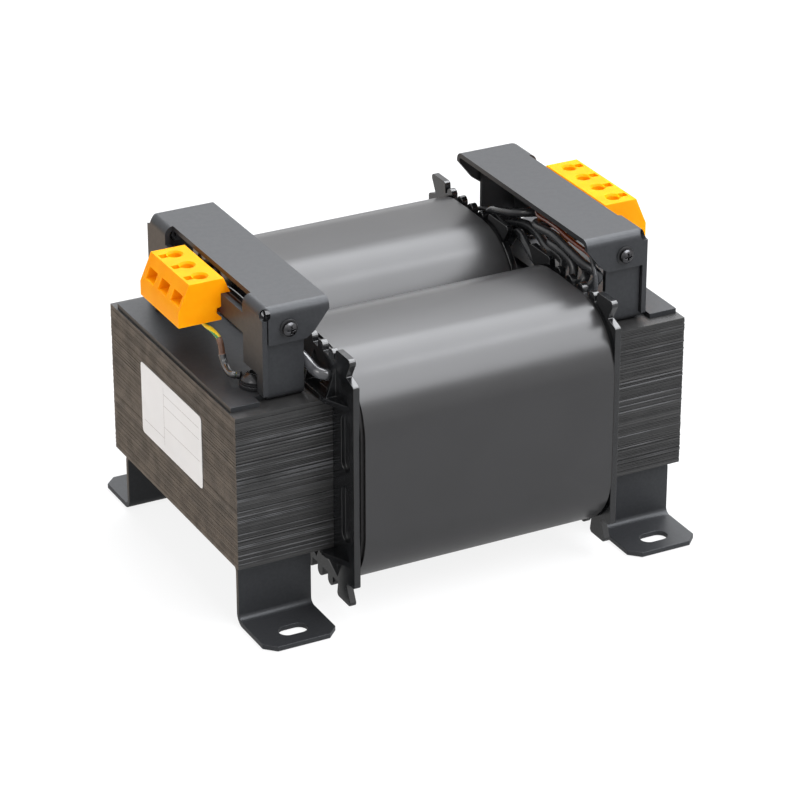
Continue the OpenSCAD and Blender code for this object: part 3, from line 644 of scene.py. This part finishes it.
class TRANSFORMER_OT_coils(Operator):
    """Finishes the formers, the windings and the film around them"""

    bl_idname = "transformer.coils"
    bl_label = "Coils"

    def execute(self, context):
        values = settings("coil")
        former = finish(
            "Former moulding", (values.former, shade(values.former, 0.7)), (0.17, 0.24),
            grain=(260, 2200, 0.003), drift=150, specular_ior_level=0.75,
        )
        film = finish(
            "Outer film", (values.film, shade(values.film, 1.08)), (0.28, 0.30),
            grain=(60, 900, 0.003), drift=45,
        )
        # Painted shade: the windings take a near-black colour so the gaps at the films' ends read as shade
        winding_shade = finish(
            "Varnished winding", (values.winding_shade, shade(values.winding_shade, 1.5)), (0.35, 0.5),
            grain=(200, 1300, 0.08), drift=300,
        )
        paper = finish("Barrier paper", (values.paper, shade(values.paper, 0.8)), (0.6, 0.8), drift=200)
        board = finish("Divider board", ((0.30, 0.19, 0.09), (0.24, 0.15, 0.07)), (0.6, 0.8), drift=200)
        leans = {"near": (values.sag, values.rise), "far": (values.rise, values.rise)}
        for seed, side in enumerate(leans):
            dress("former_" + side, former, values.edge, clamp=False)
            film_ring("wrap_" + side, film, leans[side], seed)
            dress("primary_" + side, winding_shade)
            dress("secondary_" + side, winding_shade)
            dress("barrier_" + side, paper)
        dress("coil_divider", board)
        return {"FINISHED"}


# Fasteners

BOLT_EDGE = 0.2 * MM
SCREW_EDGE = 0.1 * MM
LUG_EDGE = 0.12 * MM


def black_steel():
    return finish(
        "Blackened steel", ((0.03, 0.03, 0.032), (0.045, 0.045, 0.047)), (0.26, 0.38),
        metallic=0.6, drift=300,
    )


class TRANSFORMER_OT_fasteners(Operator):
    """Finishes the clamp bolts and the cover screws"""

    bl_idname = "transformer.fasteners"
    bl_label = "Bolts and screws"

    def execute(self, context):
        screw = finish(
            "Dark screw", ((0.10, 0.10, 0.104), (0.06, 0.06, 0.063)), (0.2, 0.32), metallic=1.0, drift=400
        )
        washer = finish(
            "Dark washer", ((0.03, 0.03, 0.031), (0.02, 0.02, 0.021)), (0.35, 0.45), metallic=0.3, drift=300
        )
        sleeve = finish("Bolt sleeve", ((0.62, 0.58, 0.46), (0.54, 0.50, 0.40)), (0.5, 0.65), drift=120)
        for name in ("clamp_bolts", "clamp_nuts", "clamp_washers"):
            dress(name, black_steel(), BOLT_EDGE)
        dress("cover_screws", screw, SCREW_EDGE)
        dress("cover_nuts", screw)
        dress("cover_washers", washer, SCREW_EDGE)
        dress("bolt_sleeves", sleeve)
        return {"FINISHED"}


# Terminals


class TRANSFORMER_OT_terminals(Operator):
    """Finishes the amber housings, their cages and clamp screws"""

    bl_idname = "transformer.terminals"
    bl_label = "Terminals"

    def execute(self, context):
        values = settings("terminal")
        # Painted glow: an even orange emission over the housings stands in for light passing through the
        # amber into its shaded sides
        amber = finish(
            "Amber moulding", (values.amber, values.deep), (0.3, 0.42), grain=(200, 1600, 0.01), drift=130,
            subsurface_weight=0.5, subsurface_scale=3 * MM, subsurface_radius=(1.0, 0.45, 0.05), ior=1.16,
            specular_ior_level=0.3, emission_color=(0.26, 0.045, 0.0, 1), emission_strength=1.0,
        )
        tin = finish(
            "Tinned cage", ((0.62, 0.60, 0.54), (0.5, 0.48, 0.42)), (0.28, 0.42), metallic=1.0, drift=300
        )
        steel = finish(
            "Plated steel", ((0.42, 0.42, 0.43), (0.30, 0.30, 0.31)), (0.22, 0.36), metallic=1.0, drift=400
        )
        dress("housing_front", amber, values.edge, angle=40)
        dress("housing_rear", amber, values.edge, angle=40, flats=False)
        for name in ("cages_front", "cages_rear"):
            dress(name, tin)
        dress("terminal_screws", steel, SCREW_EDGE)
        return {"FINISHED"}


# Leads from the coils to the terminals, as points in millimetres

FRONT_ROUTES = (
    ((-56, -55, 96.8), (-57.2, -55, 96.8), (-59.6, -53, 97.4), (-60.6, -49, 98.6), (-61.4, -43, 100.4),
     (-64, -33, 103.4), (-68, -18, 107.5), (-71, -4, 110.8), (-72.4, 1.5, 111.3), (-74.5, 1.5, 111.3)),
    ((-56, 55, 96.8), (-57.2, 55, 96.8), (-59.6, 53, 97.4), (-60.6, 49, 98.6), (-61.4, 43, 100.4),
     (-64, 34, 103.4), (-68, 24, 107.5), (-71, 16, 110.8), (-72.4, 12.7, 111.3), (-74.5, 12.7, 111.3)),
)
REAR_ROUTES = (
    ((56, 34.8, 102), (57.9, 34.8, 102), (58.9, 31, 106.5), (58.2, 22, 109.7), (58.8, 13, 112.3),
     (62, 8.5, 113.5), (67, 7.3, 113), (72, 7.1, 110.9), (74.5, 7.1, 110.9)),
    ((56, -44.4, 102), (57.9, -44.4, 102), (60.6, -46.5, 105.8), (61.2, -48, 108.6), (59.8, -46.8, 111),
     (57.9, -41, 112.6), (57.9, -29, 114.2), (57.9, -19.4, 115.4), (58.8, -6, 113.6), (62, 0.2, 112.4),
     (66.5, -1.5, 112), (72, -4.1, 110.9), (74.5, -4.1, 110.9)),
    ((56, -34.8, 102), (57.9, -34.8, 102), (59.1, -33, 107), (58.7, -29.2, 109.8), (58.2, -23, 111),
     (58.9, -16.2, 110.6), (62, -12.5, 110.3), (67, -14, 110.6), (72, -15.3, 110.9), (74.5, -15.3, 110.9)),
    ((56, 16, 98.5), (57.9, 16, 98.5), (59.8, 14, 102.6), (59.8, 10, 104.8), (59.1, 3.5, 102.6),
     (58.9, -2, 100), (59, -8, 97.6), (57.9, -12, 96.5), (56, -12, 96.5)),
    ((56, -25.1, 102), (57.9, -25.1, 102), (60.8, -22.9, 104.4), (61.8, -16.9, 105), (61.5, -8.9, 105.4),
     (63.8, 2.9, 106.5), (63.8, 10.9, 107), (61, 18.9, 105.5), (57.9, 25.1, 102), (56, 25.1, 102)),
    ((56, -39.1, 102), (57.9, -39.1, 102), (60.5, -39.6, 105.2), (63, -36, 106.6), (65, -29, 106),
     (66.5, -22, 105.3), (67.5, -14, 105), (68, -4, 104.6), (68, 5, 104.2), (67, 14, 103),
     (64, 24, 101), (60.5, 33, 98.8), (57.9, 38.5, 98), (56, 38.5, 98)),
)
ENAMEL_ROUTES = (
    ((56, -52, 102), (57.2, -52, 102), (58.2, -51.2, 108.5), (58.6, -48.8, 113.2), (59.2, -46.2, 115.8),
     (59.3, -43, 116.8), (58.8, -36, 117.4), (58.7, -29, 117.8), (58.7, -22, 118.6), (60.2, -12, 117.4),
     (61, -2, 116.6), (64.5, 4.5, 117.2), (68.5, 11.5, 115.4), (71.5, 16.6, 111.6), (72.6, 17.3, 110.06),
     (74.5, 17.3, 110.06)),
    ((56, 43.4, 102), (57, 43.4, 102), (59, 42, 103.2), (63, 36, 104), (67, 27, 106),
     (70.4, 21, 108.4), (72.4, 19.4, 110), (74.5, 19.3, 110.06)),
)
FRONT_RADIUS = 2.2 * MM
REAR_RADIUS = 1.8 * MM
ENAMEL_RADIUS = 0.95 * MM
# Share of each enamelled wire that runs in a black sleeve
SLEEVED = (0.25, 0.75)
EARTH_ROUTE = (
    (-86.4, -9.7, 108.3), (-86.4, -9.7, 107.3), (-86.2, -10.4, 106.2), (-85.4, -12.9, 105),
    (-84.8, -16.8, 104.5), (-84.4, -21, 103.2), (-84.11, -22.39, 100), (-84.01, -22.89, 97),
    (-84.01, -24.39, 94.6), (-84.31, -27.39, 93.3), (-84.51, -31.49, 93.1), (-82.81, -33.19, 93.1),
    (-82.24, -33.76, 93.1),
)
EARTH_RADIUS = 0.95 * MM
# The earth wire's green stripes: turns along the wire, then pitch and width as shares of a turn
STRIPE_TURNS = 1.6
STRIPE_PITCH = 0.5
STRIPE_WIDTH = 0.17
# Steps of the earth wire's path that its sleeve covers, and the share of it that is shrunk tight
SLEEVE_START, SLEEVE_END = 41, 100
SHRUNK = 0.3
SHRUNK_RADIUS = 1.2 * MM
SLEEVE_RADIUS = 1.4 * MM


class TRANSFORMER_OT_leads(Operator):
    """Runs the sleeved leads and the enamelled wires to the terminals"""

    bl_idname = "transformer.leads"
    bl_label = "Coil leads"

    def execute(self, context):
        values = settings("lead")
        grey = finish(
            "Grey sleeve", (values.grey, shade(values.grey, 0.7)), (0.14, 0.22),
            grain=(150, 900, 0.02), drift=200, coat_weight=0.5,
        )
        black = finish(
            "Black sleeve", (values.black, shade(values.black, 1.6)), (0.22, 0.36),
            grain=(150, 900, 0.03), drift=200,
        )
        enamel = finish(
            "Wire enamel", (values.enamel, shade(values.enamel, 0.6)), (0.18, 0.3),
            drift=400, coat_weight=0.4,
        )
        for name, routes, radius, materials, slot in (
            ("front_leads", FRONT_ROUTES, FRONT_RADIUS, [grey], "grey_lead"),
            ("rear_leads", REAR_ROUTES, REAR_RADIUS, [black], "black_lead"),
            ("copper_leads", ENAMEL_ROUTES, ENAMEL_RADIUS, [enamel, black], "enamel_copper"),
        ):
            bm = bmesh.new()
            for k, route in enumerate(routes):
                sleeved = SLEEVED[k] if len(materials) > 1 else 0.0
                tube(bm, led(route), radius, paint=lambda along, around: int(along < sleeved))
            piece(name + "_round", bm, materials, [name], slot)
        return {"FINISHED"}


def stripe(along, around):
    return int((around + STRIPE_TURNS * along) % STRIPE_PITCH < STRIPE_WIDTH)


def sleeve_radius(along):
    return SHRUNK_RADIUS if along < SHRUNK else SLEEVE_RADIUS


class TRANSFORMER_OT_earth(Operator):
    """Runs the striped earth wire through its sleeve to the lug"""

    bl_idname = "transformer.earth"
    bl_label = "Earth wire"

    def execute(self, context):
        values = settings("lead")
        yellow = finish("Earth yellow", (values.yellow, shade(values.yellow, 0.85)), (0.3, 0.4), drift=300)
        green = finish("Earth green", (values.green, shade(values.green, 0.8)), (0.3, 0.4), drift=300)
        brown = finish(
            "Shrunk sleeve", ((0.13, 0.06, 0.035), (0.08, 0.04, 0.025)), (0.2, 0.3),
            drift=250, coat_weight=0.3,
        )
        silver = finish(
            "Clear sleeve", ((0.05, 0.05, 0.052), (0.025, 0.025, 0.027)), (0.12, 0.2),
            drift=350, coat_weight=0.8,
        )
        path = led(EARTH_ROUTE)
        bm = bmesh.new()
        tube(bm, path, EARTH_RADIUS, sides=24, paint=stripe)
        piece("earth_wire_striped", bm, [yellow, green], ["earth_wire"], "earth_insulation")
        bm = bmesh.new()
        covered = path[SLEEVE_START:SLEEVE_END]
        tube(bm, covered, sleeve_radius, sides=20, paint=lambda along, around: int(along > SHRUNK))
        piece("earth_sleeve_bent", bm, [brown, silver], ["earth_sleeve"], "clear_sleeve")
        dress("earth_lug", black_steel(), LUG_EDGE)
        return {"FINISHED"}


# Label

# Level lines: height, start and end, as shares of the label's size
RULES = ((0.82, 0.04, 0.62), (0.66, 0.04, 0.62), (0.36, 0.04, 0.62), (0.2, 0.62, 0.96))
# Upright line: place, lower and upper end, as shares of the label's size
UPRIGHT = (0.62, 0.1, 0.92)
# How far the lines stand out of the film, and how deep they reach into it
INK_HEIGHT = 0.008 * MM
INK_DEPTH = 0.02 * MM
# Degrees between two points of a rounded corner
CORNER_STEP = 15


def slab(bm, low, high, index):
    """Box between two corners, in one of its piece's materials."""
    made = bmesh.ops.create_cube(bm, size=1.0)
    for vert in made["verts"]:
        vert.co = Vector(low[i] + (vert.co[i] + 0.5) * (high[i] - low[i]) for i in range(3))
    for face in {f for v in made["verts"] for f in v.link_faces}:
        face.material_index = index


def rounded_outline(low, high, corner):
    """Points around a rectangle in y and z with rounded corners."""
    left, right = low.y + corner, high.y - corner
    lower, upper = low.z + corner, high.z - corner
    outline = []
    for k, (y, z) in enumerate(((right, upper), (left, upper), (left, lower), (right, lower))):
        for degrees in range(90 * k, 90 * k + 91, CORNER_STEP):
            turn = math.radians(degrees)
            outline.append((y + corner * math.cos(turn), z + corner * math.sin(turn)))
    return outline


class TRANSFORMER_OT_label(Operator):
    """Lays the ruled label on the front yoke"""

    bl_idname = "transformer.label"
    bl_label = "Label"

    def execute(self, context):
        values = settings("label")
        film = finish(
            "Label film", (values.film, shade(values.film, 0.96)), (0.3, 0.4),
            grain=(80, 600, 0.01), drift=60,
        )
        ink = finish("Label rules", (values.ink, shade(values.ink, 1.15)), (0.4, 0.5), drift=300)
        low, high = LABEL_LOW, LABEL_HIGH
        bm = bmesh.new()
        prism(bm, rounded_outline(low, high, values.corner), low.x, high.x)
        for vert in bm.verts:
            vert.co = (vert.co.z, vert.co.x, vert.co.y)
        wide, tall, rule = high.y - low.y, high.z - low.z, values.rule
        out, root = low.x - INK_HEIGHT, low.x + INK_DEPTH
        for share, start, end in RULES:
            z = low.z + share * tall
            slab(bm, (out, low.y + start * wide, z), (root, low.y + end * wide, z + rule), 1)
        share, start, end = UPRIGHT
        y = low.y + share * wide
        slab(bm, (out, y, low.z + start * tall), (root, y + rule, low.z + end * tall), 1)
        piece("label_ruled", bm, [film, ink], ["label"], "label_film", smooth=False)
        return {"FINISHED"}


# Stage

CAMERA_PLACE = (-0.55392, -1.06654, 0.63901)
CAMERA_TILT = math.radians(63.877)
CAMERA_TURN = math.radians(-27.514)
SENSOR_WIDTH = 36
# Where the lamps point
MIDDLE = Vector((0, 0, 0.06))
COOL = (0.95, 0.965, 1.0)
PALE = (0.97, 0.98, 1.0)
WARM = (1.0, 0.97, 0.94)
# Lamps: name, place, width and height, the setting for their power, and colour
LAMPS = (
    ("overhead_softbox", (0.35, 0.34, 1.1), (1.2, 0.8), "key", COOL),
    ("front_softbox", (0.40, -0.70, 1.1), (1.2, 1.0), "fill", COOL),
    ("back_panel", (0.9, 1.75, 0.95), (1.6, 0.8), "back", PALE),
    ("upper_panel", (0.75, 1.16, 1.2), (1.4, 0.5), "upper", COOL),
    ("low_panel", (1.05, 2.0, 0.24), (2.2, 0.48), "low", PALE),
    ("side_panel", (-1.2, -0.55, 1.15), (0.6, 0.6), "side", WARM),
)
WORLD_TINT = (0.96, 0.98, 1.0, 1)
FLOOR_HALF = 6.0
FLOOR_DROP = 0.5 * MM
# The floor's grey where it throws light back, and where it is looked at
FLOOR_GREY = (0.84, 0.84, 0.84, 1)
FLOOR_FAINT = (0.14, 0.14, 0.14, 1)
# The glow of the floor, and what the camera sees on top of it
FLOOR_GLOW = 0.36
FLOOR_SEEN_GLOW = 0.5
BOARD_HALF = 0.5
BOARD_PLACE = (-0.60, 0.45, -0.3 * MM)
BOARD_TINT = (1.0, 0.80, 0.63, 1)
BOARD_GLOW = 1.05


def area_lamp(name, place, size, power, colour):
    lamp = bpy.data.lights.new(name, "AREA")
    lamp.shape = "RECTANGLE"
    lamp.size, lamp.size_y = size
    lamp.energy = power
    lamp.color = colour
    made = bpy.data.objects.new(name, lamp)
    made.location = place
    made.rotation_euler = (MIDDLE - Vector(place)).to_track_quat("-Z", "Y").to_euler()
    made.visible_camera = False
    bpy.context.scene.collection.objects.link(made)


def stage_sheet(name, finish_name, cells, half, place):
    """Flat sheet for the stage, from half its width; gives back the sheet and its empty node tree."""
    bm = bmesh.new()
    bmesh.ops.create_grid(bm, x_segments=cells, y_segments=cells, size=half)
    mesh = bpy.data.meshes.new(name)
    bm.to_mesh(mesh)
    bm.free()
    made = bpy.data.objects.new(name, mesh)
    made.location = place
    bpy.context.scene.collection.objects.link(made)
    material = bpy.data.materials.new(finish_name)
    material.use_nodes = True
    tree = material.node_tree
    tree.nodes.remove(tree.nodes["Principled BSDF"])
    mesh.materials.append(material)
    return made, tree


def part_by_ray(tree, path, lighting, looked_at, output):
    """Shows one shader to the light that bounces about, and another to the rays that look at it."""
    seen = math_node(tree, "MAXIMUM", path.outputs["Is Camera Ray"], path.outputs["Is Glossy Ray"])
    seen = math_node(tree, "MAXIMUM", seen, path.outputs["Is Transmission Ray"])
    blend = add(tree, "MixShader")
    for socket, value in zip(blend.inputs, (seen, lighting.outputs[0], looked_at.outputs[0])):
        feed(tree, socket, value)
    feed(tree, tree.nodes[output].inputs["Surface"], blend.outputs[0])


def studio_world(scene, ambient):
    """White where it is looked at, dimmer and cooler where it lights the object."""
    world = bpy.data.worlds.new("Studio")
    world.use_nodes = True
    scene.world = world
    tree = world.node_tree
    dim = tree.nodes["Background"]
    dim.inputs["Color"].default_value = WORLD_TINT
    dim.inputs["Strength"].default_value = ambient
    glow = add(tree, "Background")
    glow.inputs["Color"].default_value = (1, 1, 1, 1)
    part_by_ray(tree, add(tree, "LightPath"), dim, glow, "World Output")


def white_floor():
    """White floor with a soft shadow under the object."""
    floor, tree = stage_sheet("floor", "White floor", 8, FLOOR_HALF, (0, 0, -FLOOR_DROP))
    lit = add(tree, "BsdfDiffuse")
    lit.inputs["Color"].default_value = FLOOR_GREY
    faint = add(tree, "BsdfDiffuse")
    faint.inputs["Color"].default_value = FLOOR_FAINT
    path = add(tree, "LightPath")
    glow = add(tree, "Emission")
    strength = math_node(tree, "MULTIPLY_ADD", path.outputs["Is Camera Ray"], FLOOR_SEEN_GLOW, FLOOR_GLOW)
    feed(tree, glow.inputs["Strength"], strength)
    both = add(tree, "AddShader")
    feed(tree, both.inputs[0], faint.outputs[0])
    feed(tree, both.inputs[1], glow.outputs[0])
    part_by_ray(tree, path, lit, both, "Material Output")


def warm_board():
    """A warm board on the table beside the object, which only its polish picks up."""
    board, tree = stage_sheet("warm_board", "Warm board", 4, BOARD_HALF, BOARD_PLACE)
    glow = add(tree, "Emission")
    glow.inputs["Color"].default_value = BOARD_TINT
    glow.inputs["Strength"].default_value = BOARD_GLOW
    feed(tree, tree.nodes["Material Output"].inputs["Surface"], glow.outputs[0])
    for ray in ("camera", "diffuse", "transmission", "volume_scatter", "shadow"):
        setattr(board, "visible_" + ray, False)


def stage_camera(scene, lens):
    camera = bpy.data.cameras.new("camera")
    camera.sensor_width = SENSOR_WIDTH
    camera.lens = lens
    made = bpy.data.objects.new("camera", camera)
    made.location = CAMERA_PLACE
    made.rotation_euler = (CAMERA_TILT, 0, CAMERA_TURN)
    scene.collection.objects.link(made)
    scene.camera = made


class TRANSFORMER_OT_stage(Operator):
    """Sets the floor, the lights and the camera"""

    bl_idname = "transformer.stage"
    bl_label = "Stage"

    def execute(self, context):
        values = settings("stage")
        scene = context.scene
        scene.view_settings.view_transform = "Standard"
        studio_world(scene, values.ambient)
        white_floor()
        warm_board()
        for name, place, size, power, colour in LAMPS:
            area_lamp(name, place, size, getattr(values, power), colour)
        stage_camera(scene, values.lens)
        return {"FINISHED"}


OPERATORS = (
    TRANSFORMER_OT_core,
    TRANSFORMER_OT_sheet_metal,
    TRANSFORMER_OT_coils,
    TRANSFORMER_OT_fasteners,
    TRANSFORMER_OT_terminals,
    TRANSFORMER_OT_leads,
    TRANSFORMER_OT_earth,
    TRANSFORMER_OT_label,
    TRANSFORMER_OT_stage,
)


class TRANSFORMER_PT_pieces(Panel):
    """Lists the transformer's pieces"""

    bl_idname = "TRANSFORMER_PT_pieces"
    bl_label = "Transformer"
    bl_space_type = "VIEW_3D"
    bl_region_type = "UI"
    bl_category = "Transformer"

    def draw(self, context):
        for operator in OPERATORS:
            self.layout.operator(operator.bl_idname)
        for name in SETTINGS:
            box = self.layout.box()
            values = settings(name)
            for key in values.bl_rna.properties.keys():
                if key not in ("rna_type", "name"):
                    box.prop(values, key)


CLASSES = (*SETTINGS.values(), *OPERATORS, TRANSFORMER_PT_pieces)


def register():
    for cls in CLASSES:
        bpy.utils.register_class(cls)
    for name, cls in SETTINGS.items():
        setattr(bpy.types.Scene, "transformer_" + name, PointerProperty(type=cls))


def unregister():
    for name in SETTINGS:
        delattr(bpy.types.Scene, "transformer_" + name)
    for cls in reversed(CLASSES):
        bpy.utils.unregister_class(cls)


def main():
    register()
    for operator in OPERATORS:
        family, verb = operator.bl_idname.split(".")
        getattr(getattr(bpy.ops, family), verb)()


if __name__ == "__main__":
    main()
